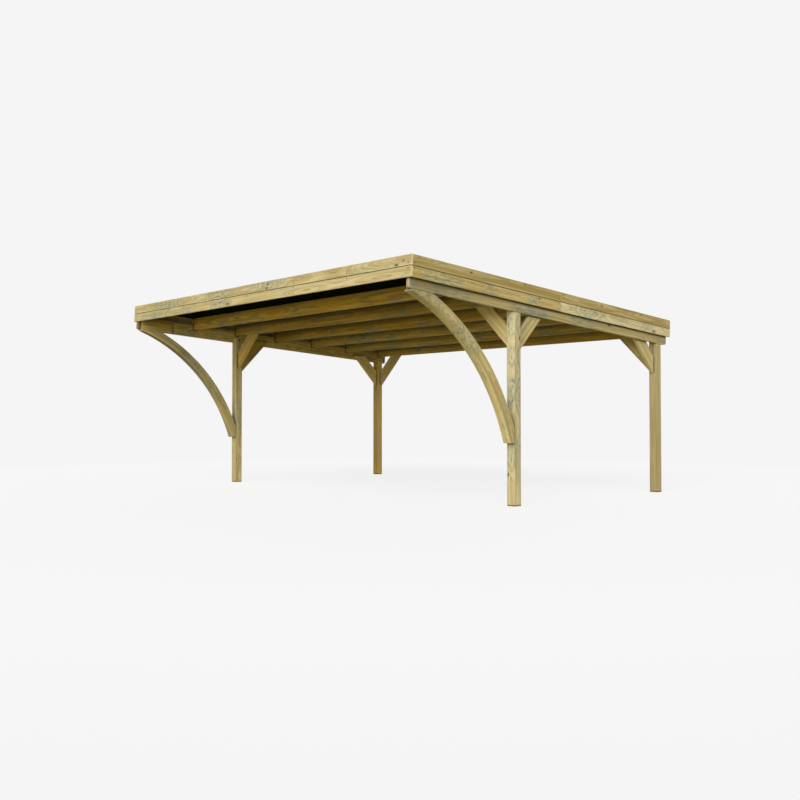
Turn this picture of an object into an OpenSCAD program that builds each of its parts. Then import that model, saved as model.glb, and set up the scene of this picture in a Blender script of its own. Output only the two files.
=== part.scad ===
// Double carport: an open frame of treated timber under a shallow single-slope roof.
// The origin is on the ground, at the middle of the plan. +Z is up. The front, with the two
// curved braces, faces -Y, and the roof falls from the front to the back. +X is the right side.

/* [Posts] */
// Side of the square posts
post_side = 115; // [95:1:135]
// Radius of the rounded long edges of a post
post_edge_r = 6; // [2:0.5:12]
// Distance between post centre lines across the bay
post_spacing_x = 5737; // [4800:1:6400]
// Distance between post centre lines along the bay
post_spacing_y = 3045; // [2700:1:3600]
// Height of the post's tongue above the underside of the beam that it holds
tongue_h = 65; // [45:1:90]

/* [Roof] */
// Height of the front top edge above the ground
front_edge_h = 2684; // [2500:1:2900]
// Fall of the roof from front to back, in degrees
roof_slope = 3.5; // [2:0.1:5]
// Plan distance from the front top edge back to the front posts' centre line
front_overhang = 1732; // [1500:1:1900]
// Plan distance from the back posts' centre line to the back top edge
back_overhang = 241; // [180:1:320]
// Distance from a beam's outer face to the fascia's outer face
side_overhang = 40; // [32:1:60]

/* [Fascia boards] */
// Height of one fascia board
board_h = 115; // [95:1:125]
// Thickness of a fascia board
board_t = 22; // [16:1:28]
// Gap between the upper and the lower board
board_gap = 3; // [1:0.5:6]
// Gap at the butt splice in the side boards
splice_gap = 2; // [1:0.5:5]
// Side of the square cleats that join the front boards from inside
cleat_side = 45; // [30:1:60]
// Distance between the cleats' centre lines
cleat_pitch = 971; // [700:1:1200]
// Distance by which a cleat stops short of the boards' edges
cleat_margin = 15; // [5:1:30]
// Distance from the side boards' back ends to the eaves board
eaves_setback = 10; // [8:1:60]

/* [Beams] */
// Thickness of a side beam
beam_t = 45; // [35:1:60]
// Height of a side beam
beam_h = 180; // [150:1:220]
// Radius of the rounded lower corners at a beam's ends
beam_corner_r = 32; // [10:1:40]

/* [Rafters] */
// Thickness of a rafter
rafter_t = 45; // [35:1:60]
// Height of a rafter
rafter_h = 180; // [160:1:200]
// Distance from the fascia's top edge down to the rafters' tops
rafter_drop = 57; // [50:1:70]
// Depth of the notch that seats a rafter on a beam
rafter_notch = 72; // [40:1:90]
// Equal spaces between the rafter on the front posts and the one on the back posts
rafter_bays = 4; // [4]

/* [Knee braces] */
// Thickness of a knee brace
brace_t = 45; // [35:1:60]
// Depth of a knee brace, square to its length
brace_depth = 173; // [130:1:200]
// Length of a brace's lower edge along the beam or rafter
brace_run = 520; // [420:1:600]
// Length of a brace's lower edge down the post
brace_rise = 520; // [420:1:600]
// Height by which a side brace laps the inner face of its beam
brace_lap = 75; // [50:1:95]

/* [Curved braces] */
// Radius of the hollow side of a curved brace
arch_r = 2522; // [2000:1:3200]
// Depth of a curved brace, along its radius
arch_depth = 114; // [90:1:140]
// Height of the level foot cut above the ground
arch_foot_h = 722; // [500:1:900]
// Depth of the foot in front of the post
arch_foot_d = 63; // [45:1:80]
// Height of the blunt nose at the upper end
arch_nose_h = 18; // [10:1:40]
// Distance from the beam's front end back to the nose
arch_nose_setback = 43; // [30:1:90]
// Distance from the beam's front end back to the block beside it
block_setback = 48; // [45:1:90]
// Length of the block that doubles the beam over a curved brace
block_l = 495; // [400:1:650]
// Thickness of the block
block_t = 45; // [30:1:55]

/* [Roof sheets] */
// Thickness of a roof sheet
sheet_t = 1.5; // [1:0.1:3]
// Height of a sheet's ribs
rib_h = 35; // [20:1:40]
// Width of a rib's flat top
rib_top_w = 45; // [25:1:60]
// Plan width of a rib's sloping side
rib_side_w = 18; // [10:1:25]
// Ribs in the cover width of one sheet
ribs_per_sheet = 5; // [3:1:6]
// Distance from the side boards to the outer sheets
sheet_side_gap = 12; // [5:1:30]
// Distance from the front boards back to the sheets
sheet_front_gap = 6; // [2:1:20]
// Distance by which the sheets reach past the eaves board, so that rain drips clear of it
sheet_drip = 7; // [3:1:8]
// Play between two lapped ribs
lap_play = 0.3; // [0.1:0.1:0.5]

/* [Hidden] */

// Smoothness of small and of large rounds
$fn = 48;
arch_facets = 720;
// Length by which a cut runs past the face that it cuts
overrun = 10;
// Number of sheets, and of cleats to each side of the middle one
sheet_count = 6;
side_cleats = 2;

// Roof box. In the roof's own frame x runs across, y down the slope from the front edge and
// z square to the roof, from the fascia's top edge.
fascia_h = 2 * board_h + board_gap;
roof_w = post_spacing_x + post_side + 2 * side_overhang;
roof_l = (front_overhang + post_spacing_y + back_overhang) / cos(roof_slope);
front_edge_y = (fascia_h * sin(roof_slope) - roof_l * cos(roof_slope)) / 2;

// Post lines in plan
front_post_y = front_edge_y + front_overhang;
back_post_y = front_post_y + post_spacing_y;
post_outer_x = (post_spacing_x + post_side) / 2;
post_inner_x = post_outer_x - post_side;
beam_inner_x = post_outer_x - beam_t;
rafter_end_x = roof_w / 2 - board_t;

// Heights in the roof's frame
rafter_bottom = -rafter_drop - rafter_h;
beam_top = rafter_bottom + rafter_notch;
beam_bottom = beam_top - beam_h;
tongue_top = beam_bottom + tongue_h;

// Stations down the slope
eaves_back = roof_l - eaves_setback;
beam_front = board_t;
beam_back = eaves_back - board_t;
sheet_front = board_t + sheet_front_gap;
sheet_back = eaves_back + sheet_drip;

// Rafter lines in plan: the second stands over the front posts, and the last is flush with the
// back posts' rear faces
rafter_pitch = (post_spacing_y + (post_side - rafter_t) / 2) / rafter_bays;
function rafter_y(i) = front_post_y + (i - 2) * rafter_pitch;

// Height above the ground, and station down the slope, of a plane of the roof's frame at plan line y
function roof_z(y, level) = front_edge_h - (y - front_edge_y) * tan(roof_slope) + level / cos(roof_slope);
function roof_y(y, level) = (y - front_edge_y - level * sin(roof_slope)) / cos(roof_slope);

// The side boards meet over the end of the third rafter
splice_y = roof_y(rafter_y(3), rafter_bottom + rafter_h / 2);

// Knee brace cuts: level at the top, plumb at the post
brace_angle = atan(brace_rise / brace_run);
brace_level_cut = brace_depth / sin(brace_angle);
brace_plumb_cut = brace_depth / cos(brace_angle);

// Curved brace: two points on its hollow side, and the centre of its curve
arch_face_y = front_post_y - post_side / 2;
arch_foot = [arch_face_y - arch_foot_d, arch_foot_h];
arch_nose_y = front_edge_y + (beam_front * cos(roof_slope) + beam_bottom * sin(roof_slope)) + arch_nose_setback;
arch_nose = [arch_nose_y, roof_z(arch_nose_y, beam_bottom) - arch_nose_h];
arch_chord = arch_nose - arch_foot;
arch_chord_l = norm(arch_chord);
arch_middle = (arch_nose + arch_foot) / 2;
arch_offset = sqrt(arch_r * arch_r - arch_chord_l * arch_chord_l / 4);
arch_centre = arch_middle + arch_offset * [-arch_chord[1], arch_chord[0]] / arch_chord_l;

// Sheet layout: the sheets and the last lapped rib fill the width between the side boards
rib_w = 2 * rib_side_w + rib_top_w;
sheet_field_w = 2 * (rafter_end_x - sheet_side_gap);
rib_pitch = (sheet_field_w - rib_w) / (sheet_count * ribs_per_sheet);
sheet_cover_w = ribs_per_sheet * rib_pitch;

timber = "burlywood";
timber_shade = "tan";
fascia_timber = "wheat";
sheet_black = "dimgray";

// Places its children in the roof's frame
module in_roof_frame() {
    translate([0, front_edge_y, front_edge_h])
        rotate([-roof_slope, 0, 0])
            children();
}

// Box in the roof's frame, from its lowest to its highest corner
module roof_box(low, high) {
    in_roof_frame()
        translate(low)
            cube(high - low);
}

// Everything above a level of the roof's frame, from plan line y0 to y1 and from x0 to x1
module above_level(level, x0, x1, y0, y1) {
    roof_box(
        [x0, roof_y(y0, level) - fascia_h, level],
        [x1, roof_y(y1, level) + fascia_h, level + front_edge_h]
    );
}

// Extrudes a side view, drawn in (y, z), from x0 to x1
module from_side(x0, x1) {
    translate([x0, 0, 0])
        rotate([90, 0, 90])
            linear_extrude(x1 - x0)
                children();
}

// Square with rounded corners, centred
module rounded_square(side, r) {
    square([side - 2 * r, side], center = true);
    square([side, side - 2 * r], center = true);
    for (x = [-1, 1], y = [-1, 1])
        translate([x, y] * (side / 2 - r))
            circle(r);
}

// Post with a seat for the beam outside and a tongue that rises behind the beam
module post(side, y) {
    beam_x0 = side > 0 ? beam_inner_x : -post_outer_x - overrun;
    color(timber)
        difference() {
            translate([side * post_spacing_x / 2, y, 0])
                linear_extrude(front_edge_h)
                    rounded_square(post_side, post_edge_r);
            above_level(beam_bottom, beam_x0, beam_x0 + beam_t + overrun, y - post_side, y + post_side);
            above_level(
                tongue_top, -post_outer_x - overrun, post_outer_x + overrun, y - post_side, y + post_side
            );
        }
}

// Side view of a beam in the roof's frame, with its two lower corners rounded
module beam_outline() {
    translate([beam_front, beam_bottom + beam_corner_r])
        square([beam_back - beam_front, beam_h - beam_corner_r]);
    translate([beam_front + beam_corner_r, beam_bottom])
        square([beam_back - beam_front - 2 * beam_corner_r, beam_h]);
    for (end = [beam_front + beam_corner_r, beam_back - beam_corner_r])
        translate([end, beam_bottom + beam_corner_r])
            circle(beam_corner_r);
}

// Side beam, flush with the posts' outer faces
module side_beam(side) {
    x0 = side > 0 ? beam_inner_x : -post_outer_x;
    color(timber)
        in_roof_frame()
            from_side(x0, x0 + beam_t)
                beam_outline();
}

// Rafter across the bay, notched over both beams
module rafter(i) {
    front = roof_y(rafter_y(i), rafter_bottom) - rafter_t / 2;
    color(timber_shade)
        difference() {
            roof_box(
                [-rafter_end_x, front, rafter_bottom],
                [rafter_end_x, front + rafter_t, rafter_bottom + rafter_h]
            );
            for (x0 = [-rafter_end_x - overrun, beam_inner_x])
                roof_box(
                    [x0, front - overrun, rafter_bottom - overrun],
                    [x0 + rafter_end_x - beam_inner_x + overrun, front + rafter_t + overrun, beam_top]
                );
        }
}

// Side view of a knee brace: u runs away from the post, v up it, from the lower tip
module brace_outline() {
    polygon([
        [0, 0],
        [brace_run, brace_rise],
        [brace_run - brace_level_cut, brace_rise],
        [0, brace_plumb_cut]
    ]);
}

// Knee brace across the bay, from a post's inner face up to the underside of rafter i
module cross_brace(side, i) {
    y = rafter_y(i);
    front = y - brace_t / 2;
    tip_z = roof_z(front, rafter_bottom) - brace_rise;
    color(timber)
        difference() {
            translate([side * post_inner_x, front, tip_z])
                mirror([side > 0 ? 1 : 0, 0, 0])
                    translate([0, brace_t, 0])
                        rotate([90, 0, 0])
                            linear_extrude(brace_t)
                                brace_outline();
            above_level(rafter_bottom, -post_inner_x - overrun, post_inner_x + overrun, y, y);
        }
}

// Knee brace along the side, from a post's face up beside the beam; way is 1 to the back, -1 to the front
module side_brace(side, post_y, way) {
    x0 = side > 0 ? beam_inner_x - brace_t : -beam_inner_x;
    face_y = post_y + way * post_side / 2;
    lap_y = face_y + way * (brace_run - brace_level_cut / 2);
    tip_z = roof_z(lap_y, beam_bottom) + brace_lap - brace_rise;
    color(timber)
        translate([0, face_y, tip_z])
            mirror([0, way > 0 ? 0 : 1, 0])
                from_side(x0, x0 + brace_t)
                    brace_outline();
}

// Side view of a curved brace, before its top is cut to the beam
module arch_outline() {
    intersection() {
        translate(arch_centre)
            difference() {
                circle(arch_r + arch_depth, $fn = arch_facets);
                circle(arch_r, $fn = arch_facets);
            }
        translate([arch_nose_y, arch_foot_h])
            square([arch_face_y - arch_nose_y, front_edge_h - arch_foot_h]);
    }
}

// Curved brace from a front post's face up to the underside of the beam and of its block
module curved_brace(side) {
    x0 = side > 0 ? post_inner_x : -post_outer_x;
    color(timber)
        difference() {
            from_side(x0, x0 + post_side)
                arch_outline();
            above_level(beam_bottom, x0 - overrun, x0 + post_side + overrun, arch_nose_y, arch_face_y);
        }
}

// Block that doubles the beam over a curved brace
module brace_block(side) {
    x0 = side > 0 ? beam_inner_x - block_t : -beam_inner_x;
    front = beam_front + block_setback;
    color(timber_shade)
        roof_box([x0, front, beam_bottom], [x0 + block_t, front + block_l, beam_top]);
}

// Lower edge of a fascia board: row 0 is the upper board, row 1 the lower one
function board_low(row) = -board_h - row * (board_h + board_gap);

// Full-width board across the front, which covers the side boards' ends
module front_board(row) {
    color(fascia_timber)
        roof_box([-roof_w / 2, 0, board_low(row)], [roof_w / 2, board_t, board_low(row) + board_h]);
}

// Board across the back between the side boards, on the beams' ends and under the sheets' drip edge
module eaves_board() {
    color(fascia_timber)
        roof_box(
            [-rafter_end_x, beam_back, -rafter_drop - board_h],
            [rafter_end_x, eaves_back, -rafter_drop]
        );
}

// Half-length board on a side, in front of or behind the splice
module side_board(side, row, front, back) {
    x0 = side > 0 ? rafter_end_x : -roof_w / 2;
    color(fascia_timber)
        roof_box([x0, front, board_low(row)], [x0 + board_t, back, board_low(row) + board_h]);
}

module front_half_board(side, row) {
    side_board(side, row, board_t, splice_y - splice_gap / 2);
}

module back_half_board(side, row) {
    side_board(side, row, splice_y + splice_gap / 2, roof_l);
}

// Upright cleats that join the two front boards from inside, below the sheets
module front_cleats() {
    color(timber_shade)
        for (k = [-side_cleats:side_cleats])
            roof_box(
                [k * cleat_pitch - cleat_side / 2, board_t, cleat_margin - fascia_h],
                [k * cleat_pitch + cleat_side / 2, board_t + cleat_side, -cleat_margin - rafter_drop]
            );
}

// Underside of a rib that starts at x, on the level given
function rib_points(x, lift) = [
    [x - lift * rib_side_w / rib_h, 0],
    [x + rib_side_w, rib_h + lift],
    [x + rib_side_w + rib_top_w, rib_h + lift],
    [x + rib_w, lift]
];

// Cross-section of a sheet: its own ribs, then one raised rib that laps the next sheet's first
sheet_lift = sheet_t + lap_play;
sheet_under = [
    for (k = [0:ribs_per_sheet], p = rib_points(k * rib_pitch, k < ribs_per_sheet ? 0 : sheet_lift)) p
];
sheet_over = [
    for (k = [len(sheet_under) - 1:-1:0]) sheet_under[k] + [0, sheet_t]
];

// Profiled sheet on the rafters, with its ribs down the slope
module roof_sheet(i) {
    color(sheet_black)
        in_roof_frame()
            translate([(i - 1) * sheet_cover_w - sheet_field_w / 2, sheet_back, -rafter_drop])
                rotate([90, 0, 0])
                    linear_extrude(sheet_back - sheet_front)
                        polygon(concat(sheet_under, sheet_over));
}

post(-1, front_post_y);  // post_front_left
post(1, front_post_y);  // post_front_right
post(-1, back_post_y);  // post_back_left
post(1, back_post_y);  // post_back_right
side_beam(-1);  // side_beam_left
side_beam(1);  // side_beam_right
for (i = [1:rafter_bays + 2])
    rafter(i);
curved_brace(-1);  // curved_brace_left
curved_brace(1);  // curved_brace_right
brace_block(-1);  // brace_block_left
brace_block(1);  // brace_block_right
cross_brace(-1, 2);  // cross_brace_front_left
cross_brace(1, 2);  // cross_brace_front_right
cross_brace(-1, rafter_bays + 2);  // cross_brace_back_left
cross_brace(1, rafter_bays + 2);  // cross_brace_back_right
side_brace(-1, front_post_y, 1);  // side_brace_front_left
side_brace(1, front_post_y, 1);  // side_brace_front_right
side_brace(-1, back_post_y, -1);  // side_brace_back_left
side_brace(1, back_post_y, -1);  // side_brace_back_right
front_board(0);  // front_fascia_upper
front_board(1);  // front_fascia_lower
front_cleats();
eaves_board();
front_half_board(-1, 0);  // left_fascia_upper_front
back_half_board(-1, 0);  // left_fascia_upper_back
front_half_board(-1, 1);  // left_fascia_lower_front
back_half_board(-1, 1);  // left_fascia_lower_back
front_half_board(1, 0);  // right_fascia_upper_front
back_half_board(1, 0);  // right_fascia_upper_back
front_half_board(1, 1);  // right_fascia_lower_front
back_half_board(1, 1);  // right_fascia_lower_back
for (i = [1:sheet_count])
    roof_sheet(i);
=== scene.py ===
"""Looks of a double carport in treated pine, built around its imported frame."""
import math
from collections import namedtuple

import bmesh
import bpy
from mathutils import Matrix, Vector


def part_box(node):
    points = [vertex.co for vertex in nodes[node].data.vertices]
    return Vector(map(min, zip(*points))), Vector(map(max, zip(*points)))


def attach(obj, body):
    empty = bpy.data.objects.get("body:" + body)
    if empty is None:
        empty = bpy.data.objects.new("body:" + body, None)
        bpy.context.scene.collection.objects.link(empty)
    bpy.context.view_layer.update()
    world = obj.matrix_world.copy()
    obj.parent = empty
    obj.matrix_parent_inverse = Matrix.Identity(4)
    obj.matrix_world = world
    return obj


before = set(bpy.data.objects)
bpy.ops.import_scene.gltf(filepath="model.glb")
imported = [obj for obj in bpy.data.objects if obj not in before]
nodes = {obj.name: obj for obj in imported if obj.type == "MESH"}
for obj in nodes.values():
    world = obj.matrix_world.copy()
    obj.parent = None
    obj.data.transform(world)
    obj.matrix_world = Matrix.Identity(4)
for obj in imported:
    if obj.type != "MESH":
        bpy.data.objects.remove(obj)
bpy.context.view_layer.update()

scene = bpy.context.scene

# Directions of the carport, and of its roof, which falls to the back
ROOF_FALL = math.radians(3.5)
ACROSS = Vector((1, 0, 0))
BACKWARD = Vector((0, 1, 0))
UPWARD = Vector((0, 0, 1))
DOWN_ROOF = Vector((0, math.cos(ROOF_FALL), -math.sin(ROOF_FALL)))
OFF_ROOF = Vector((0, math.sin(ROOF_FALL), math.cos(ROOF_FALL)))

# Ends and sides in the names of the nodes, with each side's direction, and the nodes that come in rows
ENDS = ("front", "back")
SIDES = {"left": -1, "right": 1}
RAFTERS = sorted(name for name in nodes if name.startswith("rafter_"))
SHEETS = sorted(name for name in nodes if name.startswith("roof_sheet_"))


def reach(node, axis):
    """Lowest and highest place of a node along an axis."""
    places = [corner.co.dot(axis) for corner in nodes[node].data.vertices]
    return min(places), max(places)


def span(node, axis):
    """Middle and half length of a node along an axis."""
    low, high = reach(node, axis)
    return (high + low) / 2, (high - low) / 2


# Front top edge of the roof at the middle of the bay, and its places down the roof and off it
front_corner = max((corner.co for corner in nodes["front_fascia_upper"].data.vertices), key=UPWARD.dot)
FRONT_EDGE = Vector((0, front_corner.y, front_corner.z))
FRONT_START = FRONT_EDGE.dot(DOWN_ROOF)
ROOF_LEVEL = FRONT_EDGE.dot(OFF_ROOF)

# Faces of the beams, posts and boards: distances from the middle of the bay, and the beams' underside
BEAM_INNER, BEAM_OUTER = reach("side_beam_right", ACROSS)
BEAM_UNDER = reach("side_beam_right", OFF_ROOF)[0]
POST_INNER = reach("post_front_right", ACROSS)[0]
POST_HALF = span("post_front_right", ACROSS)[1]
BOARD_FACE = reach("right_fascia_upper_front", ACROSS)[1]

# Seam between the upper and lower boards: its place off the roof, and across each of the two boards
seam_top, seam_foot = reach("front_fascia_upper", OFF_ROOF)[0], reach("front_fascia_lower", OFF_ROOF)[1]
SEAM = (seam_top + seam_foot) / 2 - ROOF_LEVEL
LOWER_SEAM = span("front_fascia_lower", OFF_ROOF)[1]
UPPER_SEAM = -span("front_fascia_upper", OFF_ROOF)[1]

# Bend of the curved braces in side view: its centre, the radius of the middle line, half the depth, and
# the way that the hollow side faces
BEND_Y, BEND_Z = -3.2844, -0.0711
BEND_R, BEND_HALF = 2.579, 0.057
HOLLOW = Vector((0, -0.8, -0.6))

# Timber colours
PALE_LIGHT, PALE_DEEP = (0.715, 0.646, 0.404), (0.476, 0.390, 0.182)
HONEY_LIGHT, HONEY_DEEP = (0.556, 0.442, 0.189), (0.344, 0.248, 0.074)
LATE_WOOD = (0.270, 0.175, 0.050)
STAIN = (0.118, 0.228, 0.236)
KNOT, KNOT_RIM = (0.062, 0.048, 0.022), (0.225, 0.190, 0.085)
END_LIGHT, END_DARK = (0.800, 0.705, 0.450), (0.560, 0.440, 0.215)
WORN = (0.740, 0.650, 0.390)
# Dark colour laid over the timber as painted shade under things, between pieces and along seams, and on the
# darker foot of a post
SHADE_AND_FOOT_DARK = (0.050, 0.036, 0.014)

# Sheet and steel colours
SHEET_UNDER, SHEET_UNDER_SPECK = (0.008, 0.0078, 0.007), (0.012, 0.0116, 0.010)
SHEET_TOP, SHEET_TOP_SPECK = (0.016, 0.016, 0.017), (0.026, 0.026, 0.027)
DUST = (0.115, 0.108, 0.094)
SCREW_STEEL, SHEET_SCREW_STEEL = (0.030, 0.027, 0.024), (0.030, 0.030, 0.032)
BOLT_STEEL, NUT_STEEL = (0.150, 0.150, 0.135), (0.035, 0.033, 0.030)
STEEL_BLOOM = (0.16, 0.13, 0.10)

# Growth rings: their spacing, how far they stray, ripple and bulge round a knot, and their slope in a patch
RING = 0.0055
STRAY, RIPPLE, BULGE = 0.09, 0.012, 0.010
PATCH_SLOPE = 0.30

# Knots: cells of scattered ones in a metre, their size in a cell, the size of none, and a knot's stretch
KNOT_CELLS = (1.5, 7.5, 7.5)
KNOT_SIZE, NO_KNOT = 0.13, 0.0004
KNOT_STRETCH = 0.45

# Wear, painted light on a lit side, painted shade at seams and the darker foot: where each one fades, how
# far its edge wanders, and how near two pieces touch
EDGE_WEAR, WEAR_WANDER = (0.0005, 0.0055), 0.012
LIT_SIDE_CLIMB, LIT_SIDE_TONE = (0.3, 1.5), 1.2
SEAM_SHADE = (0.0012, 0.0040)
FOOT_WANDER = 0.02
TOUCH = 0.002

# Painted shade where one piece meets another: its reach from the meeting, and its strength there
BEAM_ON_POST = (0.014, 0.75)
BRACE_ON_POST = (0.030, 0.80)
BEND_ON_POST = (0.022, 0.85)
BEND_OVER_POST = (0.090, 0.80)
BLOCK_ON_BEAM = (0.060, 0.80)
RAFTER_ON_BEAM = (0.024, 0.75)
BRACE_ON_BEAM = (0.030, 0.90)
BEAM_ON_RAFTER = (0.014, 0.80)
POST_ON_BEND = (0.008, 0.50)
BEAM_ON_BEND = (0.009, 0.80)
POST_ON_BRACE = (0.012, 0.80)
BEAM_ON_BRACE = (0.030, 0.85)

# How far inside a bearing's ends its painted shade starts, and how fast a bend's painted shadow fades past
# the post's face
BRACE_INSET, BEND_INSET = 0.025, 0.020
BEND_FADE = 5

# How squarely a face looks along the grain where it starts to show the cut end, and where it shows it fully
CUT_FACE, BENT_CUT_FACE = (0.6, 0.8), (0.75, 0.9)

# Eased edges: radius on posts, beams and curved braces, on rafters and on the other timber
STOUT_EASE, RAFTER_EASE, PLAIN_EASE = 0.003, 0.001, 0.0015
WELD_GAP, SHARP_CORNER = 0.00005, math.radians(35)

# Where each kind of piece starts in the noise, so that no two pieces have the same figure
FIRST_SEED = {
    "post": 1.3, "beam": 7.4, "rafter": 11.7, "bend": 19.2, "block": 22.6, "cleat": 25.1, "brace": 27.9,
    "front_board": 36.2, "side_board": 41.8,
}
NEXT_BRACE, SIDE_BRACE_AFTER = 1.3, 0.6


def rgba(colour):
    return (*colour, 1.0)


def toned(colour, tone):
    return rgba(part * tone for part in colour)


def between(a, b, share):
    return tuple(x + (y - x) * share for x, y in zip(a, b))


class Sock:
    """A node's output, which adds Math nodes when it stands in an expression."""

    def __init__(self, tree, out=None):
        self.tree = tree
        self.out = out

    def node(self, kind, settings=None, sockets=None, out=0):
        """Adds a node: its settings come first, then the values or links of its sockets."""
        made = self.tree.nodes.new("ShaderNode" + kind)
        for name, value in (settings or {}).items():
            setattr(made, name, value)
        for name, value in (sockets or {}).items():
            if isinstance(value, Sock):
                self.tree.links.new(value.out, made.inputs[name])
            else:
                made.inputs[name].default_value = value
        return Sock(self.tree, made.outputs[out])

    def also(self, out):
        """Another output of the same node."""
        return Sock(self.tree, self.out.node.outputs[out])

    def math(self, operation, *values):
        return self.node("Math", {"operation": operation}, dict(enumerate(values)))

    def __add__(self, other):
        return self.math("ADD", self, other)

    def __radd__(self, other):
        return self.math("ADD", other, self)

    def __sub__(self, other):
        return self.math("SUBTRACT", self, other)

    def __rsub__(self, other):
        return self.math("SUBTRACT", other, self)

    def __mul__(self, other):
        return self.math("MULTIPLY", self, other)

    def __rmul__(self, other):
        return self.math("MULTIPLY", other, self)

    def __truediv__(self, other):
        return self.math("DIVIDE", self, other)

    def __abs__(self):
        return self.math("ABSOLUTE", self)

    def least(self, other):
        return self.math("MINIMUM", self, other)

    def most(self, other):
        return self.math("MAXIMUM", self, other)

    def rise(self, low, high):
        """0 below low, 1 above high and a smooth step between."""
        settings = {"interpolation_type": "SMOOTHSTEP"}
        return self.node("MapRange", settings, {0: self, 1: low, 2: high})

    def mix(self, a, b):
        """Colour a where this is 0, colour b where it is 1."""
        return self.node("Mix", {"data_type": "RGBA"}, {0: self, 6: a, 7: b}, 2)

    def dot(self, axis):
        return self.node("VectorMath", {"operation": "DOT_PRODUCT"}, {0: self, 1: axis}, "Value")


def length_of(a, b):
    square = a * a + b * b
    return square.math("SQRT", square)


def object_spot(paint):
    """Place of the shaded point in the carport."""
    return paint.node("TexCoord", out="Object")


def faces(paint, side, low=0.5, high=0.9):
    """1 on the faces that look to a side."""
    return paint.node("NewGeometry", out="Normal").dot(side).rise(low, high)


def stretch(place, scale, shift):
    return place.node("VectorMath", {"operation": "MULTIPLY_ADD"}, {0: place, 1: scale, 2: shift})


def fibre(place, seed, along, across, detail=2.0):
    """Noise drawn out along the grain: along and across are its features in a metre."""
    drawn = stretch(place, (along, across, across), (seed * 3.7, seed * 5.1, seed * 2.3))
    return place.node("TexNoise", None, {"Vector": drawn, "Scale": 1.0, "Detail": detail})


def drift(measure, rate, seed):
    """Noise along one measure, such as the years of growth or a piece's length."""
    line = {"noise_dimensions": "1D"}
    return measure.node("TexNoise", line, {"W": measure * rate + seed, "Scale": 1.0, "Detail": 1.0})


def from_box(low, high):
    """Measures the distance from a box, 0 inside it."""
    steps = (
        ("SUBTRACT", {1: (low + high) / 2}),
        ("ABSOLUTE", {}),
        ("SUBTRACT", {1: (high - low) / 2}),
        ("MAXIMUM", {1: (0, 0, 0)}),
    )

    def gap(spot):
        for operation, value in steps:
            spot = spot.node("VectorMath", {"operation": operation}, {0: spot, **value})
        return spot.node("VectorMath", {"operation": "LENGTH"}, {0: spot}, "Value")

    return gap


def bearing(node, on, inset=Vector()):
    """Measures the distance from the corners of a node that touch another one's box."""
    low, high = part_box(on)
    near = [
        corner.co for corner in nodes[node].data.vertices
        if all(low[i] - TOUCH < corner.co[i] < high[i] + TOUCH for i in range(3))
    ]
    start, stop = (Vector([pick(place[i] for place in near) for i in range(3)]) for pick in (min, max))
    return from_box(start + inset, stop - inset)


def from_beam_edge(spot):
    """Distance from a beam's lower inner edge, and under the beam from its underside."""
    inside = (BEAM_INNER - abs(spot.dot(ACROSS))).most(0.0)
    return length_of(spot.dot(OFF_ROOF) - BEAM_UNDER, inside)


def from_bend(face):
    """Measures the distance from a curved brace's back over the post's face at a plan line."""
    def gap(spot):
        y, z = spot.dot(BACKWARD), spot.dot(UPWARD)
        back = length_of(y - BEND_Y, z - BEND_Z) - (BEND_R + BEND_HALF)
        return length_of(back, (y - face).most(0.0) * BEND_FADE)

    return gap


Grain = namedtuple("Grain", "u v w place end edge")


def grain_at(u, v, w, end, edge):
    """Place along and across the grain, whether a face cuts it, and the distance from the piece's edges."""
    return Grain(u, v, w, u.node("CombineXYZ", None, {0: u, 1: v, 2: w}), end, edge)


def straight_grain(node, along, width, start):
    """Grain straight along a piece, counted from start along it and from the piece's middle across it."""
    depth = along.cross(width)
    width_mid, width_half = span(node, width)
    depth_mid, depth_half = span(node, depth)

    def lay(paint):
        spot = object_spot(paint)
        v = spot.dot(width) - width_mid
        w = spot.dot(depth) - depth_mid
        end = abs(paint.node("NewGeometry", out="Normal").dot(along)).rise(*CUT_FACE)
        edge = (width_half - abs(v)).most(depth_half - abs(w))
        return grain_at(spot.dot(along) - start, v, w, end, edge)

    return lay


def curved_grain(node):
    """Grain round the bend of a curved brace."""
    side_mid, side_half = span(node, ACROSS)

    def lay(paint):
        spot = object_spot(paint)
        facing = paint.node("NewGeometry", out="Normal")
        out_y = spot.dot(BACKWARD) - BEND_Y
        out_z = spot.dot(UPWARD) - BEND_Z
        radius = length_of(out_y, out_z)
        turn = out_z.math("ARCTAN2", out_z, out_y)
        v = radius - BEND_R
        w = spot.dot(ACROSS) - side_mid
        end = abs(facing.dot(UPWARD) * out_y - facing.dot(BACKWARD) * out_z) / radius
        edge = (BEND_HALF - abs(v)).most(side_half - abs(w))
        return grain_at(turn * BEND_R, v, w, end.rise(*BENT_CUT_FACE), edge)

    return lay


def blank_material(name):
    """A material with one Principled shader: gives the shader and a sock to start expressions from."""
    material = bpy.data.materials.new(name)
    material.use_nodes = True
    return material, material.node_tree.nodes["Principled BSDF"], Sock(material.node_tree)


def feed(shader, name, sock):
    sock.tree.links.new(sock.out, shader.inputs[name])


def raise_relief(shader, height, strength, depth):
    """Bump from a height, at a strength and a depth in metres."""
    bump = height.node("Bump", None, {"Strength": strength, "Distance": depth, "Height": height})
    feed(shader, "Normal", bump)


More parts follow.
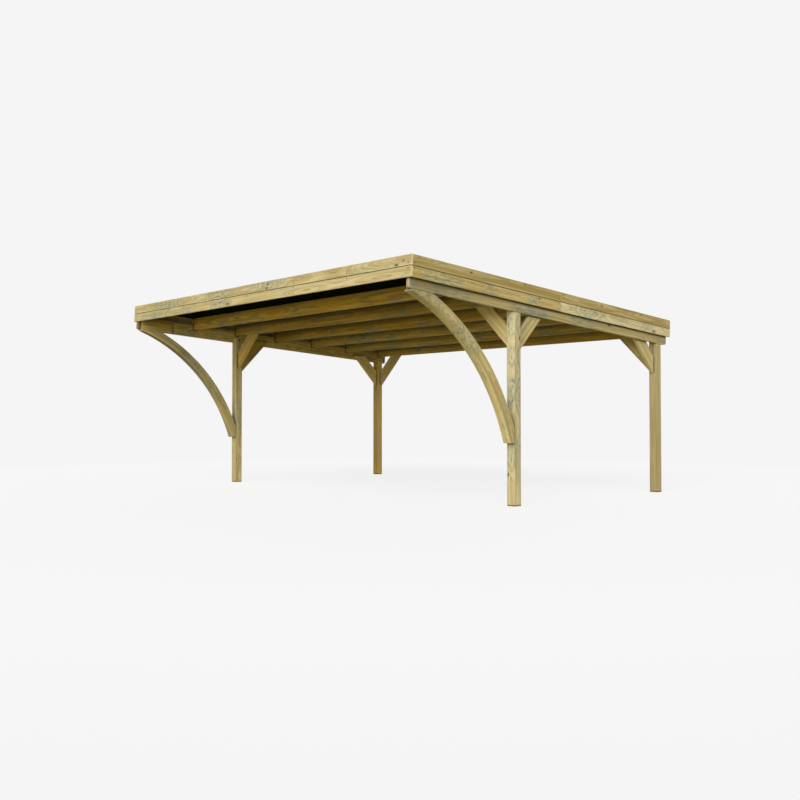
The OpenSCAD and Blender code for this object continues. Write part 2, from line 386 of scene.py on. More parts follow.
def knot_marks(grain, seed, knots):
    """Core and rim of the knots that are scattered in the wood, and of those that the piece is known by."""
    spread = stretch(grain.place, KNOT_CELLS, (seed * 1.9, seed * 4.3, seed * 3.1))
    cell = grain.place.node("TexVoronoi", None, {"Vector": spread, "Scale": 1.0}, "Distance")
    size = grain.place.node("SeparateColor", None, {0: cell.also("Color")})
    near = cell / ((size - 0.5) * KNOT_SIZE).most(NO_KNOT)
    for knot_u, knot_v, radius, *depth in knots:
        off = length_of((grain.u - knot_u) * KNOT_STRETCH, grain.v - knot_v)
        for knot_w in depth:
            off = length_of(off, grain.w - knot_w)
        near = near.least(off / radius)
    return 1 - near.rise(0.40, 1.05), 1 - near.rise(0.7, 2.4)


def growth_rings(grain, seed, pith, flame, patches, rim):
    """Rings about a wandering pith: late wood, dark years, and the years that soak up preservative."""
    stray = fibre(grain.place, seed, along=0.8, across=1.5, detail=1.0)
    bow = drift(grain.u, 0.55, seed * 2.7)
    ripple = fibre(grain.place, seed + 3.1, along=4.0, across=18.0, detail=3.0)
    across = grain.v - pith[0] - (stray - 0.5) * STRAY
    depth = grain.w - pith[1] - (bow - 0.5) * (2 * flame)
    for patch_u, half, _ in patches:
        depth = depth + (1 - abs(grain.u - patch_u).rise(0.0, half)) * (PATCH_SLOPE * half)
    year = (length_of(across, depth) + (ripple - 0.5) * RIPPLE + rim * BULGE) / RING
    season = year.math("FRACT", year)
    late = season.rise(0.35, 0.88) * (1 - season.rise(0.93, 1.0))
    dark_year = drift(year, 0.30, seed).rise(0.38, 0.62)
    wet_year = drift(year, 0.36, seed + 11.0).rise(0.47, 0.58)
    return late, dark_year, wet_year


def preservative(grain, seed, stain, patches, dashes, wet_year):
    """Share of preservative: dashes along the grain, strongest in the patches and the years that soak."""
    soak = fibre(grain.place, seed + 13.0, along=1.6, across=7.0).rise(0.48, 0.66) * stain
    for patch_u, half, strength in patches:
        soak = soak + (1 - abs(grain.u - patch_u).rise(half * 0.4, half)) * strength
    fine = fibre(grain.place, seed + 17.0, along=dashes, across=30.0 + dashes * 2.5, detail=3.0)
    dash = fine.rise(0.47, 0.58) * (0.35 + wet_year * 0.65)
    return soak.least(1.0) * (dash + wet_year * 0.15).least(1.0) * 0.92


def shaded_and_darkened(
    body, paint, grain, streak, shaded_side=None, shade=None, joints=(), contact_shade=(), foot=0.0, seam=None,
):
    """Painted shade, and the darker foot of a post, over a timber's colour.

    The shaded side is (direction, strength) of a side that is painted darker, as painted shade. Shade is
    (low place across, high place across, strength) of the painted shade under what lies above. Dark bands
    are (direction, place, reach, strength) of darker bands across the piece, mostly painted shade where
    another piece meets it or lies over it. Contact shade is (measure of the distance, reach, strength) of
    painted shade near other pieces that bear on it, and round a painted shadow spot. Foot is the height of
    the darker foot. Seam is the place across of an edge that meets another board, where a line of painted
    shade runs.
    """
    spot = object_spot(paint)
    # Masks of painted shade, and of the darker foot, each laid over the colour in turn
    masks = []
    if shaded_side:
        side, strength = shaded_side
        masks.append(faces(paint, side) * strength)
    if shade:
        low, high, strength = shade
        masks.append(grain.v.rise(low, high) * strength)
    for axis, place, breadth, strength in joints:
        masks.append((1 - abs(spot.dot(axis) - place).rise(TOUCH, breadth)) * strength)
    for gap, breadth, strength in contact_shade:
        masks.append((1 - gap(spot).rise(TOUCH, breadth)) * strength)
    if foot:
        # Darker up to an uneven line at the foot
        from_foot = grain.u + (streak - 0.5) * FOOT_WANDER
        masks.append((1 - from_foot.rise(foot * 0.5, foot * 1.3)) * 0.75)
    if seam:
        masks.append(1 - abs(grain.v - seam).rise(*SEAM_SHADE))
    for mask in masks:
        body = mask.mix(body, rgba(SHADE_AND_FOOT_DARK))
    return body


def treated_pine(
    name, lay, seed, honey=0.3, tone=1.0, cut=1.0, pith=(0.0, 0.07), flame=0.16, knots=(), stain=0.5,
    patches=(), dashes=13.0, lit_side=None, **shade_and_foot,
):
    """Planed pine: growth rings about a wandering pith, knots, and blue-green streaks of preservative.

    Honey is the share of the warmer colour, tone its brightness and cut that of the cut ends. Pith is the
    place of the rings' middle across the piece, and flame how far it bows. Knots are (place along the
    grain, place across, radius), with the depth of one that shows on one face only. Stain is the strength
    of the streaks. Patches are (place along the grain, half length, strength) of strong streaks, where the
    rings also run out through the face, and dashes is the number of streaks in a metre. The lit side is
    (direction, strength at the foot, strength at the head) of an upright piece's side that is painted
    paler, as painted light. The other keywords are the painted shade and the darker foot that the function
    above lays on.
    """
    material, shader, paint = blank_material(name)
    grain = lay(paint)
    core, rim = knot_marks(grain, seed, knots)
    late, dark_year, wet_year = growth_rings(grain, seed, pith, flame, patches, rim)
    streak = fibre(grain.place, seed + 7.0, along=1.0, across=30.0, detail=4.0)
    cloud = fibre(grain.place, seed + 8.0, along=0.8, across=5.0)
    hair = fibre(grain.place, seed + 9.0, along=7.0, across=380.0)

    # Clean wood
    light = toned(between(PALE_LIGHT, HONEY_LIGHT, honey), tone)
    deep = toned(between(PALE_DEEP, HONEY_DEEP, honey), tone)
    share = streak.rise(0.34, 0.66) * 0.58 + dark_year * 0.34 + cloud.rise(0.34, 0.66) * 0.24
    body = share.mix(light, deep)
    body = (late * (0.23 + dark_year * 0.36) + hair.rise(0.55, 0.8) * 0.19).mix(body, rgba(LATE_WOOD))
    # Painted light: faces towards the lit side are painted paler, more so towards the head
    if lit_side:
        side, at_foot, at_head = lit_side
        lit_share = at_foot + grain.u.rise(*LIT_SIDE_CLIMB) * (at_head - at_foot)
        body = (faces(paint, side) * lit_share).mix(body, toned(light[:3], LIT_SIDE_TONE))

    # Preservative, knots, cut ends and worn edges, then painted shade and the darker foot
    body = preservative(grain, seed, stain, patches, dashes, wet_year).mix(body, rgba(STAIN))
    body = (rim * 0.40).mix(body, rgba(KNOT_RIM))
    body = core.mix(body, rgba(KNOT))
    sawn = (late * 0.6 + hair.rise(0.5, 0.8) * 0.4).mix(toned(END_LIGHT, cut), toned(END_DARK, cut))
    body = grain.end.mix(body, sawn)
    worn = 1 - (grain.edge + (streak - 0.5) * WEAR_WANDER).rise(*EDGE_WEAR)
    body = (worn * 0.10).mix(body, rgba(WORN))
    body = shaded_and_darkened(body, paint, grain, streak, **shade_and_foot)

    feed(shader, "Base Color", body)
    feed(shader, "Roughness", 0.62 + streak * 0.22 - core * 0.16)
    raise_relief(shader, hair * 0.55 + late * 0.35 + core * 0.5, strength=0.45, depth=0.0012)
    shader.inputs["Specular IOR Level"].default_value = 0.20
    return material


def dark_sheet(name):
    """Dark ribbed roof sheet with a satin skin, a little dust and faint scuffs."""
    material, shader, paint = blank_material(name)
    spot = object_spot(paint)
    upward = faces(paint, OFF_ROOF, low=0.2)
    cloud = paint.node("TexNoise", None, {"Vector": spot, "Scale": 1.7, "Detail": 4.0})
    grit = paint.node("TexNoise", None, {"Vector": spot, "Scale": 260.0, "Detail": 2.0})
    run = fibre(spot, 4.0, along=40.0, across=1.2, detail=3.0)
    speck = grit.rise(0.3, 0.75)
    dust = upward * cloud.rise(0.35, 0.75) * (0.3 + run * 0.7) * 0.30
    under = speck.mix(rgba(SHEET_UNDER), rgba(SHEET_UNDER_SPECK))
    top = speck.mix(rgba(SHEET_TOP), rgba(SHEET_TOP_SPECK))
    body = dust.mix(upward.mix(under, top), rgba(DUST))
    feed(shader, "Base Color", body)
    feed(shader, "Roughness", 0.70 - upward * 0.28 + cloud * 0.2 + dust * 0.5)
    raise_relief(shader, grit + run * 0.4, strength=0.2, depth=0.0006)
    feed(shader, "Coat Weight", upward * 0.22)
    shader.inputs["Coat Roughness"].default_value = 0.45
    shader.inputs["Specular IOR Level"].default_value = 0.0
    return material


def dark_steel(name, colour, metal, rough):
    """Darkened steel of screws and bolts, with a mottled coat."""
    material, shader, paint = blank_material(name)
    mottle = paint.node("TexNoise", None, {"Vector": object_spot(paint), "Scale": 900.0, "Detail": 3.0})
    body = mottle.rise(0.35, 0.7).mix(rgba(colour), rgba(between(colour, STEEL_BLOOM, 0.35)))
    feed(shader, "Base Color", body)
    feed(shader, "Roughness", rough + mottle * 0.25)
    raise_relief(shader, mottle, strength=0.25, depth=0.0003)
    shader.inputs["Metallic"].default_value = metal
    return material


def ease_edges(node, radius):
    """Takes the sharpness off a piece's edges, as a planer does."""
    weld = nodes[node].modifiers.new("join_faces", "WELD")
    weld.merge_threshold = WELD_GAP
    bevel = nodes[node].modifiers.new("eased_edges", "BEVEL")
    bevel.width = radius
    bevel.segments = 2
    bevel.limit_method = "ANGLE"
    bevel.angle_limit = SHARP_CORNER


def dress(node, material):
    nodes[node].data.materials.clear()
    nodes[node].data.materials.append(material)


def finish_timber(node, lay, seed, eased=PLAIN_EASE, **look):
    dress(node, treated_pine(node + "_pine", lay, seed, **look))
    ease_edges(node, eased)


# Looks of the pieces, in the words of treated_pine() and of the painted shade it hands on: each kind's
# stock, then each piece
POST_STOCK = dict(flame=0.03, foot=0.016)
# Painted light: one side of each post is painted paler
POST_LOOKS = {
    "post_front_right": dict(
        honey=0.06, stain=0.8, pith=(0.02, 0.01), tone=1.0, dashes=14.0, lit_side=(-BACKWARD, 0.08, 0.42),
        patches=[(2.10, 0.22, 0.6), (1.72, 0.18, 0.6), (1.25, 0.30, 0.6), (0.62, 0.25, 0.7)],
        knots=[(1.930, POST_HALF, 0.011, 0.037), (0.364, -0.0345, 0.010, -POST_HALF)],
    ),
    "post_front_left": dict(
        honey=0.60, stain=0.8, pith=(-0.02, 0.02), tone=0.97, dashes=14.0, lit_side=(-BACKWARD, 0.0, 0.28),
        knots=[(0.362, POST_HALF, 0.007, -0.041)],
    ),
    "post_back_right": dict(
        honey=0.5, stain=0.5, pith=(0.01, -0.03), tone=0.81, dashes=12.0, lit_side=(ACROSS, 0.25, 0.35),
    ),
    "post_back_left": dict(
        honey=1.40, stain=0.5, pith=(0.0, 0.02), tone=1.20, dashes=18.0, lit_side=(ACROSS, 0.45, 0.8),
    ),
}
BEAM_STOCK = dict(flame=0.10)
# Painted shade on the right beam under the boards, and on the left beam in the corner behind its front end;
# the right beam is also darker towards its front
BEAM_LOOKS = {
    "side_beam_right": dict(
        honey=0.55, stain=0.8, pith=(0.02, 0.05), tone=0.89, cut=0.80, dashes=5.0,
        shade=(-0.012, 0.024, 0.95), joints=[(DOWN_ROOF, FRONT_START + 0.2, 1.3, 0.22)],
        patches=[(0.25, 0.30, 0.8), (0.75, 0.30, 0.8), (1.95, 0.40, 0.8), (3.05, 0.35, 0.9)],
        knots=[(3.607, 0.0, 0.015)],
    ),
    "side_beam_left": dict(
        honey=1.15, stain=0.9, pith=(-0.02, 0.06), tone=1.4, cut=0.42, dashes=4.0,
        joints=[(DOWN_ROOF, FRONT_START + 0.045, 0.040, 0.55)],
        patches=[(0.75, 0.35, 1.3), (1.4, 0.3, 0.8)],
    ),
}
# Painted shade on the rafters' undersides, and on their faces towards the roof above
RAFTER_STOCK = dict(stain=1.0, flame=0.12, dashes=4.0, shaded_side=(-UPWARD, 0.6), shade=(-0.06, 0.09, 0.6))
RAFTER_PITHS = ((-0.02, 0.06), (0.0, 0.06), (0.02, 0.06))
RAFTER_LOOKS = {
    "rafter_1": dict(honey=1.55, tone=1.80, patches=[(2.0, 0.15, 0.6)], shade=(-0.06, 0.09, 0.4)),
    "rafter_2": dict(honey=1.47, tone=1.24, patches=[(-2.25, 0.20, 0.7)]),
    "rafter_3": dict(honey=1.55, tone=1.36, patches=[(0.95, 0.20, 0.7)]),
    "rafter_4": dict(honey=1.22, tone=1.40, patches=[(-1.55, 0.60, 1.1)]),
    "rafter_5": dict(
        honey=1.22, tone=1.36, patches=[(-1.7, 0.25, 0.8), (0.1, 0.40, 1.1), (1.6, 0.30, 1.0)],
    ),
    "rafter_6": dict(honey=1.50, tone=1.50, patches=[(-1.7, 0.45, 1.0), (-1.0, 0.20, 0.8)]),
}
# Painted shadow: a soft dark spot on the left curved brace
SHADOW_SPOT = Vector((-POST_INNER, -1.758, 2.035))
BEND_STOCK = dict(stain=0.6, pith=(0.01, 0.03), flame=0.06, dashes=16.0, cut=0.7)
# Painted shade on the left curved brace's downward faces, painted light on the right one's hollow, and
# painted shade on its head
BEND_LOOKS = {
    "left": dict(
        honey=0.85, tone=0.88, shaded_side=(-UPWARD, 0.55), patches=[(1.65, 0.30, 0.4), (2.15, 0.25, 0.5)],
        contact_shade=[(from_box(SHADOW_SPOT, SHADOW_SPOT), 0.15, 0.35)],
    ),
    "right": dict(
        honey=0.70, tone=1.14, lit_side=(HOLLOW, 0.5, 0.5), patches=[(2.25, 0.35, 0.6), (2.95, 0.35, 0.5)],
        joints=[(UPWARD, 2.35, 0.75, 0.25)],
    ),
}
BLOCK_STOCK = dict(honey=1.4, stain=0.45, pith=(0.0, 0.07), flame=0.05, tone=1.10, cut=0.42)
CLEAT_STOCK = dict(honey=0.5, stain=0.3)

# Honey and tone of the knee braces, and the reach and strength of the painted shade on the right cross
# braces' heads
CROSS_BRACE_SHADES = {
    ("front", "left"): (1.25, 1.52), ("front", "right"): (0.35, 1.57),
    ("back", "left"): (0.72, 1.14), ("back", "right"): (0.38, 1.48),
}
SIDE_BRACE_SHADES = {
    ("front", "left"): (1.55, 1.30), ("front", "right"): (0.58, 1.19),
    ("back", "left"): (0.95, 1.68), ("back", "right"): (0.43, 1.14),
}
BRACE_STOCK = dict(stain=0.6, flame=0.05)
CROSS_BRACE_PITH, SIDE_BRACE_PITH = (0.12, 0.03), (-0.12, 0.03)
SHADED_HEAD = (0.21, 0.33)

# Painted shade along the seam between the upper and lower boards, and on the inner faces of the left
# boards' front halves
FRONT_LOOKS = {
    "front_fascia_upper": dict(
        honey=0.34, stain=0.5, pith=(0.02, 0.06), seam=UPPER_SEAM,
        patches=[(-1.95, 0.55, 0.9), (-0.70, 0.35, 0.7), (0.40, 0.45, 0.9)],
        knots=[
            (0.424, -0.030, 0.013), (0.448, 0.020, 0.012), (2.743, -0.035, 0.013), (2.849, 0.002, 0.008),
        ],
    ),
    "front_fascia_lower": dict(
        honey=0.28, stain=0.35, pith=(-0.02, 0.05), seam=LOWER_SEAM,
        patches=[(-2.35, 0.55, 0.9), (-1.40, 0.25, 0.7), (-0.60, 0.30, 0.8)],
        knots=[(-0.432, -0.025, 0.014)],
    ),
    "eaves_board": dict(honey=0.4, stain=0.5, pith=(0.0, -0.06)),
}
SIDE_LOOKS = {
    "right_fascia_upper_front": dict(
        honey=0.88, stain=0.10, pith=(0.03, 0.09), flame=0.05, seam=UPPER_SEAM,
        knots=[(0.904, 0.016, 0.011), (1.831, 0.028, 0.008)],
    ),
    "right_fascia_upper_back": dict(
        honey=0.92, stain=0.10, pith=(0.02, -0.10), flame=0.05, seam=UPPER_SEAM,
        knots=[(3.368, 0.018, 0.011), (4.293, 0.030, 0.008)],
    ),
    "right_fascia_lower_front": dict(
        honey=0.86, stain=0.25, pith=(0.0, 0.04), flame=0.12, tone=1.18, seam=LOWER_SEAM,
        patches=[(0.36, 0.26, 0.9), (0.64, 0.20, 0.9), (1.23, 0.20, 0.7), (2.0, 0.2, 0.6)],
        knots=[(2.102, 0.034, 0.010)],
    ),
    "right_fascia_lower_back": dict(
        honey=0.0, stain=0.35, pith=(0.0, 0.04), flame=0.14, tone=1.12, seam=LOWER_SEAM,
        patches=[(3.10, 0.34, 1.0), (3.84, 0.2, 0.6), (4.46, 0.2, 0.7)],
        knots=[(4.617, -0.032, 0.016)],
    ),
    "left_fascia_upper_front": dict(
        honey=0.6, stain=0.3, pith=(0.02, -0.05), shaded_side=(ACROSS, 0.45), seam=UPPER_SEAM,
    ),
    "left_fascia_upper_back": dict(honey=0.7, stain=0.2, pith=(-0.01, -0.08), seam=UPPER_SEAM),
    "left_fascia_lower_front": dict(
        honey=0.3, stain=0.5, pith=(0.0, -0.04), shaded_side=(ACROSS, 0.45), seam=LOWER_SEAM,
    ),
    "left_fascia_lower_back": dict(honey=0.2, stain=0.45, pith=(0.01, -0.06), seam=LOWER_SEAM),
}


def finish_posts():
    for order, (node, look) in enumerate(POST_LOOKS.items()):
        place = node.removeprefix("post_")
        # Painted shade under the beam, where the braces bear, and where the curved brace stands over the
        # post
        contact_shade = [(from_beam_edge, *BEAM_ON_POST)]
        for kind in ("cross", "side"):
            brace = f"{kind}_brace_{place}"
            contact_shade.append((bearing(brace, node, UPWARD * BRACE_INSET), *BRACE_ON_POST))
        if "front" in node:
            bend = node.replace("post_front", "curved_brace")
            contact_shade.append((bearing(bend, node, ACROSS * BEND_INSET), *BEND_ON_POST))
            contact_shade.append((from_bend(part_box(node)[0].y), *BEND_OVER_POST))
        lay = straight_grain(node, UPWARD, ACROSS, 0.0)
        look = {**POST_STOCK, **look, "contact_shade": contact_shade}
        finish_timber(node, lay, FIRST_SEED["post"] + order, STOUT_EASE, **look)


def finish_beams():
    for order, (node, look) in enumerate(BEAM_LOOKS.items()):
        side = node.removeprefix("side_beam_")
        # Painted shade where the block, the rafters and the side braces bear on the beam
        contact_shade = [(bearing(f"brace_block_{side}", node), *BLOCK_ON_BEAM)]
        contact_shade += [(bearing(rafter, node), *RAFTER_ON_BEAM) for rafter in RAFTERS]
        contact_shade += [(bearing(f"side_brace_{end}_{side}", node), *BRACE_ON_BEAM) for end in ENDS]
        lay = straight_grain(node, DOWN_ROOF, OFF_ROOF, FRONT_START)
        look = {**BEAM_STOCK, **look, "contact_shade": contact_shade}
        finish_timber(node, lay, FIRST_SEED["beam"] + order, STOUT_EASE, **look)


def finish_rafters():
    for number, (node, look) in enumerate(RAFTER_LOOKS.items(), 1):
        lay = straight_grain(node, ACROSS, OFF_ROOF, 0.0)
        look = {**RAFTER_STOCK, **look}
        look["pith"] = RAFTER_PITHS[number % len(RAFTER_PITHS)]
        # Painted shade where the rafter crosses each beam
        look["joints"] = [(ACROSS, sign * BEAM_INNER, *BEAM_ON_RAFTER) for sign in SIDES.values()]
        finish_timber(node, lay, FIRST_SEED["rafter"] + number, RAFTER_EASE, **look)


def finish_curved_braces():
    for order, (side, look) in enumerate(BEND_LOOKS.items()):
        node = f"curved_brace_{side}"
        post_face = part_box(f"post_front_{side}")[0].y
        # Painted shade where the curved brace meets the post and the beam
        meetings = [(BACKWARD, post_face, *POST_ON_BEND), (OFF_ROOF, BEAM_UNDER, *BEAM_ON_BEND)]
        look = {**BEND_STOCK, **look}
        look["joints"] = meetings + look.get("joints", [])
        finish_timber(node, curved_grain(node), FIRST_SEED["bend"] + order, STOUT_EASE, **look)


def finish_blocks_and_cleats():
    for order, side in enumerate(SIDES):
        node = f"brace_block_{side}"
        lay = straight_grain(node, DOWN_ROOF, OFF_ROOF, FRONT_START)
        finish_timber(node, lay, FIRST_SEED["block"] + order, **BLOCK_STOCK)
    node = "front_cleats"
    finish_timber(node, straight_grain(node, OFF_ROOF, ACROSS, 0.0), FIRST_SEED["cleat"], **CLEAT_STOCK)


def finish_cross_brace(end, side, seed):
    node = f"cross_brace_{end}_{side}"
    along = Vector((-SIDES[side], 0, 1)).normalized()
    lay = straight_grain(node, along, BACKWARD.cross(along), span(node, along)[0])
    honey, tone = CROSS_BRACE_SHADES[end, side]
    # Painted shade where the brace meets the post, and on the right braces' heads
    joints = [(ACROSS, SIDES[side] * POST_INNER, *POST_ON_BRACE)]
    if side == "right":
        joints.append((UPWARD, reach(node, UPWARD)[1], *SHADED_HEAD))
    look = dict(BRACE_STOCK, honey=honey, tone=tone, pith=CROSS_BRACE_PITH, joints=joints)
    finish_timber(node, lay, seed, **look)


def finish_side_brace(end, side, seed):
    node = f"side_brace_{end}_{side}"
    along = Vector((0, 1 if end == "front" else -1, 1)).normalized()
    lay = straight_grain(node, along, ACROSS.cross(along), span(node, along)[0])
    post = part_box(f"post_{end}_{side}")[1 if end == "front" else 0].y
    honey, tone = SIDE_BRACE_SHADES[end, side]
    # Painted shade where the brace meets the post, and under the beam
    joints = [(BACKWARD, post, *POST_ON_BRACE)]
    contact_shade = [(from_beam_edge, *BEAM_ON_BRACE)]
    look = dict(BRACE_STOCK, honey=honey, tone=tone, pith=SIDE_BRACE_PITH, joints=joints, contact_shade=contact_shade)
    finish_timber(node, lay, seed, **look)


def finish_knee_braces():
    seed = FIRST_SEED["brace"]
    for end in ENDS:
        for side in SIDES:
            finish_cross_brace(end, side, seed)
            finish_side_brace(end, side, seed + SIDE_BRACE_AFTER)
            seed += NEXT_BRACE


def finish_boards():
    for order, (node, look) in enumerate(FRONT_LOOKS.items()):
        lay = straight_grain(node, ACROSS, OFF_ROOF, 0.0)
        finish_timber(node, lay, FIRST_SEED["front_board"] + order, **look)
    for order, (node, look) in enumerate(SIDE_LOOKS.items()):
        lay = straight_grain(node, DOWN_ROOF, OFF_ROOF, FRONT_START)
        finish_timber(node, lay, FIRST_SEED["side_board"] + order, **look)


def finish_sheets():
    skin = dark_sheet("dark_ribbed_sheet")
    for sheet in SHEETS:
        dress(sheet, skin)


# Turned forms: number of sides, then (radius, height, lobe depth) from the middle of the top to the foot
SCREW = 24, [
    (0, 0.0002, 0), (0.0022, 0.0002, 0.16), (0.0024, 0.0010, 0.16), (0.0040, 0.0012, 0),
    (0.0054, 0.0010, 0), (0.0061, 0.0004, 0), (0.0074, 0.0003, 0), (0.0080, 0.0, 0), (0, 0, 0),
]
BOLT_HEAD = 24, [
    (0, 0.0056, 0), (0.0040, 0.0053, 0), (0.0075, 0.0040, 0), (0.0098, 0.0020, 0), (0.0104, 0.0008, 0),
    (0.0104, 0.0, 0), (0, 0, 0),
]
WASHER = 24, [(0, 0.0022, 0), (0.0150, 0.0022, 0), (0.0155, 0.0016, 0), (0.0155, 0.0, 0), (0, 0, 0)]
NUT = 6, [(0, 0.0100, 0), (0.0088, 0.0100, 0), (0.0098, 0.0090, 0), (0.0098, 0.0022, 0), (0, 0.0022, 0)]
STUD = 16, [(0, 0.0135, 0), (0.0040, 0.0135, 0), (0.0050, 0.0125, 0), (0.0050, 0.0100, 0), (0, 0.0100, 0)]
SHEET_SCREW = 18, [
    (0, 0.0072, 0), (0.0036, 0.0072, 0), (0.0044, 0.0064, 0), (0.0044, 0.0030, 0), (0.0078, 0.0026, 0),
    (0.0092, 0.0012, 0), (0.0096, 0.0, 0), (0, 0, 0),
]
LOBES = 6

# Places of the screws and bolts: from the seam, the corners, the cleats and the beams' underside
SCREW_ROWS = (SEAM + 0.030, SEAM - 0.024)
CLEAT_PITCH = 0.971
CLEATS_A_SIDE = 2
FRONT_CORNER_GAP, SIDE_CORNER_GAP = 0.047, 0.046
BOLT_RISE = 0.035

# Ribs of a sheet: how many it covers, the width of a rib's foot, and the step where a sheet laps the next
SHEET_RIBS = 5
RIB_FOOT = 0.081
LAP_STEP = 0.0018


def on_roof(x, down, level):
    """Point in the roof's own directions, from the middle of its front top edge."""
    return FRONT_EDGE + ACROSS * x + DOWN_ROOF * down + OFF_ROOF * level


def rafter_stations():
    """Distances of the rafters' middles down the roof."""
    return [span(rafter, DOWN_ROOF)[0] - FRONT_START for rafter in RAFTERS]


def facing(point, outward):
    """Placement with its own upward direction along outward."""
    turn = outward.to_track_quat("Z", "Y").to_matrix().to_4x4()
    return Matrix.Translation(point) @ turn


def lathe_ring(mesh, place, radius, height, lobe, sides):
    """Corners of one ring of a turned form, or the one corner on its axis."""
    if radius == 0:
        return [mesh.verts.new(place @ Vector((0, 0, height)))]
    ring = []
    for step in range(sides):
        angle = 2 * math.pi * step / sides
        out = radius * (1 + lobe * math.cos(LOBES * angle))
        ring.append(mesh.verts.new(place @ Vector((out * math.cos(angle), out * math.sin(angle), height))))
    return ring


def turn_on_lathe(mesh, place, sides, profile):
    """Adds a turned form to a mesh."""
    rings = [lathe_ring(mesh, place, *point, sides) for point in profile]
    for upper, lower in zip(rings, rings[1:]):
        for step in range(sides):
            after = (step + 1) % sides
            if len(upper) == 1:
                mesh.faces.new((upper[0], lower[step], lower[after]))
            elif len(lower) == 1:
                mesh.faces.new((upper[step], lower[0], upper[after]))
            else:
                mesh.faces.new((upper[step], lower[step], lower[after], upper[after]))


def fixings(name, material, forms):
    """One piece from many fixings: forms are (point, outward direction, turned form)."""
    mesh = bmesh.new()
    for point, outward, turned in forms:
        turn_on_lathe(mesh, facing(point, outward), *turned)
    data = bpy.data.meshes.new(name)
    mesh.to_mesh(data)
    mesh.free()
    piece = bpy.data.objects.new(name, data)
    scene.collection.objects.link(piece)
    data.materials.append(material)
    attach(piece, "root")


def screw_boards():
    """Pairs of screws over each cleat and corner in front, and at both ends of the sides."""
    steel = dark_steel("blackened_screw_steel", SCREW_STEEL, metal=0.4, rough=0.45)
    corner = BOARD_FACE - FRONT_CORNER_GAP
    cleats = [CLEAT_PITCH * step for step in range(-CLEATS_A_SIDE, CLEATS_A_SIDE + 1)]
    front = [
        (on_roof(x, 0.0, row), -DOWN_ROOF, SCREW)
        for x in (-corner, *cleats, corner)
        for row in SCREW_ROWS
    ]
    fixings("front_board_screws", steel, front)
    for side, sign in SIDES.items():
        pairs = [
            (on_roof(sign * BOARD_FACE, down, row), ACROSS * sign, SCREW)
            for down in (SIDE_CORNER_GAP, rafter_stations()[-1])
            for row in SCREW_ROWS
        ]
        fixings(f"{side}_board_screws", steel, pairs)


def beam_under_z(y):
    """Height of the beams' underside at a plan line."""
    return (BEAM_UNDER - OFF_ROOF.y * y) / OFF_ROOF.z


def bolt_posts():
    """A bolt through each post and its beam, with the head outside and the nut inside."""
    zinc = dark_steel("dulled_bolt_steel", BOLT_STEEL, metal=0.3, rough=0.50)
    dark = dark_steel("darkened_nut_steel", NUT_STEEL, metal=0.5, rough=0.45)
    heads, nuts = [], []
    for end in ENDS:
        for side, sign in SIDES.items():
            low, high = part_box(f"post_{end}_{side}")
            y = (low.y + high.y) / 2
            z = beam_under_z(y) + BOLT_RISE
            outer = Vector((sign * BEAM_OUTER, y, z))
            inner = Vector((sign * POST_INNER, y, z))
            heads.append((outer, ACROSS * sign, BOLT_HEAD))
            nuts += [(inner, ACROSS * -sign, turned) for turned in (WASHER, NUT, STUD)]
    fixings("post_bolt_heads", zinc, heads)
    fixings("post_bolt_nuts", dark, nuts)


def screw_sheets():
    """Screws through the lapped and the middle rib of each sheet, at every rafter."""
    steel = dark_steel("dark_sheet_screw", SHEET_SCREW_STEEL, metal=0.3, rough=0.45)
    edges = [reach(sheet, ACROSS) for sheet in SHEETS]
    low, high = min(edges)[0], max(edges)[1]
    last = SHEET_RIBS * len(SHEETS)
    pitch = (high - low - RIB_FOOT) / last
    top = reach(SHEETS[0], OFF_ROOF)[1] - LAP_STEP - ROOF_LEVEL
    forms = []
    for rib in range(last + 1):
        lap = rib % SHEET_RIBS == 0
        if lap or rib % SHEET_RIBS == SHEET_RIBS // 2:
            level = top + (LAP_STEP if lap and rib else 0.0)
            x = low + RIB_FOOT / 2 + rib * pitch
            forms += [(on_roof(x, down, level), OFF_ROOF, SHEET_SCREW) for down in rafter_stations()]
    fixings("roof_sheet_screws", steel, forms)


# Studio: brightness of the backdrop, the floor's size, shown glow and fade, and the light it gives back
BACKDROP, SKY = 0.913, 0.10
FLOOR_HALF, FLOOR_GLOW, FLOOR_SHARE = 300.0, 1.078, 0.75
FLOOR_FADE = (7.0, 11.0)
FLOOR_BOUNCE, FLOOR_MATT = (0.475, 0.437, 0.168), (0.80, 0.80, 0.80)
WHITE = (1.0, 1.0, 1.0)

# Lamps: name, strength, spread in degrees and the direction that the light comes from
SUNS = (
    ("soft_key", 2.8, 55, (0.45, -0.80, 0.42)),
    ("low_fill", 1.3, 25, (0.95, -0.30, 0.05)),
    ("back_fill", 0.9, 60, (-0.70, 0.75, 0.30)),
)
STRIP_SIZE, STRIP_POWER = (26.0, 1.8), 500.0
STRIP_COLOUR = (1.0, 0.80, 0.50)
STRIP_PLACE, STRIP_SOURCE = (4.0, -16.0, 0.9), (0.25, -1.0, 0.0)

# Camera: place, tilt up from level and turn about the upright, in degrees, and its lens
EYE = (9.6084, -8.9350, 0.9829)
TILT, TURN = 1.2885, 46.658
SENSOR, LENS = 36.0, 41.02


def shown_rays(sock):
    """1 for rays that the camera sees straight, in a reflection or through glass."""
    rays = sock.node("LightPath", out="Is Camera Ray")
    return rays.most(rays.also("Is Glossy Ray")).most(rays.also("Is Transmission Ray"))


def show_instead(sock, lit_by, shown, output):
    """Shows one shader to the camera while another one lights the scene."""
    both = sock.node("MixShader", None, {0: shown_rays(sock), 1: lit_by, 2: shown})
    sock.tree.links.new(both.out, sock.tree.nodes[output].inputs["Surface"])


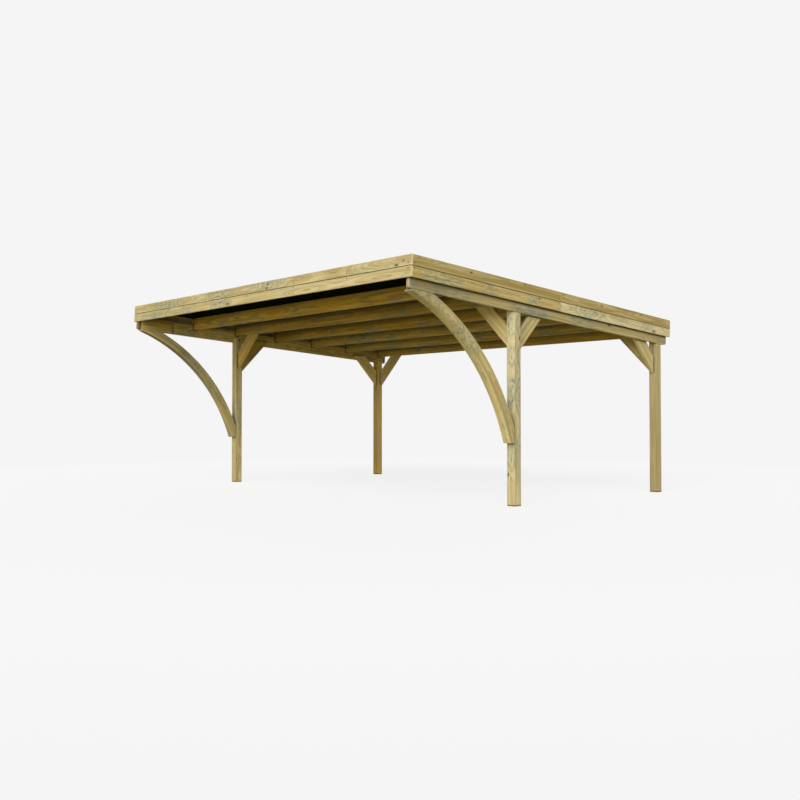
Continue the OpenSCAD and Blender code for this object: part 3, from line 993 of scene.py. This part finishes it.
def set_backdrop():
    world = bpy.data.worlds.new("studio")
    scene.world = world
    world.use_nodes = True
    sky = Sock(world.node_tree)
    soft = world.node_tree.nodes["Background"]
    soft.inputs["Color"].default_value = rgba(WHITE)
    soft.inputs["Strength"].default_value = SKY
    pale = sky.node("Background", None, {"Color": rgba(WHITE), "Strength": BACKDROP})
    show_instead(sky, Sock(sky.tree, soft.outputs[0]), pale, "World Output")


def pale_floor(name):
    """Pale floor that takes the carport's shadow and fades into the backdrop."""
    material, shader, paint = blank_material(name)
    shader.inputs["Base Color"].default_value = rgba(FLOOR_BOUNCE)
    shader.inputs["Roughness"].default_value = 1.0
    shader.inputs["Specular IOR Level"].default_value = 0.0
    spot = object_spot(paint)
    far = length_of(spot.dot(ACROSS), spot.dot(BACKWARD)).rise(*FLOOR_FADE)
    matt = paint.node("BsdfDiffuse", None, {"Color": rgba(FLOOR_MATT)})
    colour = far.mix(rgba(WHITE), toned(WHITE, BACKDROP / FLOOR_GLOW))
    lit = paint.node("Emission", None, {"Color": colour, "Strength": FLOOR_GLOW})
    shown = paint.node("MixShader", None, {0: FLOOR_SHARE + far * (1 - FLOOR_SHARE), 1: matt, 2: lit})
    show_instead(paint, Sock(paint.tree, shader.outputs[0]), shown, "Material Output")
    return material


def lay_floor():
    data = bpy.data.meshes.new("studio_floor")
    corners = [(x * FLOOR_HALF, y * FLOOR_HALF, 0) for x, y in ((-1, -1), (1, -1), (1, 1), (-1, 1))]
    data.from_pydata(corners, [], [(0, 1, 2, 3)])
    data.materials.append(pale_floor("pale_studio_floor"))
    floor = bpy.data.objects.new("studio_floor", data)
    scene.collection.objects.link(floor)


def hang_lamp(light, source):
    """Puts a lamp in the scene, with its light coming from a direction."""
    lamp = bpy.data.objects.new(light.name, light)
    lamp.rotation_euler = Vector(source).to_track_quat("Z", "Y").to_euler()
    scene.collection.objects.link(lamp)
    return lamp


def hang_lamps():
    """Soft light from the front right, fill from the side and the back, and a warm strip near the floor."""
    for name, energy, spread, source in SUNS:
        light = bpy.data.lights.new(name, "SUN")
        light.energy = energy
        light.angle = math.radians(spread)
        hang_lamp(light, source)
    strip = bpy.data.lights.new("floor_strip", "AREA")
    strip.shape = "RECTANGLE"
    strip.size, strip.size_y = STRIP_SIZE
    strip.energy = STRIP_POWER
    strip.color = STRIP_COLOUR
    lamp = hang_lamp(strip, STRIP_SOURCE)
    lamp.location = STRIP_PLACE
    lamp.visible_camera = False


def set_camera():
    lens = bpy.data.cameras.new("photo_angle")
    lens.sensor_width = SENSOR
    lens.lens = LENS
    camera = bpy.data.objects.new("photo_angle", lens)
    camera.location = EYE
    camera.rotation_euler = (math.radians(90 + TILT), 0.0, math.radians(TURN))
    scene.collection.objects.link(camera)
    scene.camera = camera


finish_posts()
finish_beams()
finish_rafters()
finish_curved_braces()
finish_blocks_and_cleats()
finish_knee_braces()
finish_boards()
finish_sheets()
screw_boards()
bolt_posts()
screw_sheets()

scene.view_settings.view_transform = "Standard"
set_backdrop()
lay_floor()
hang_lamps()
set_camera()
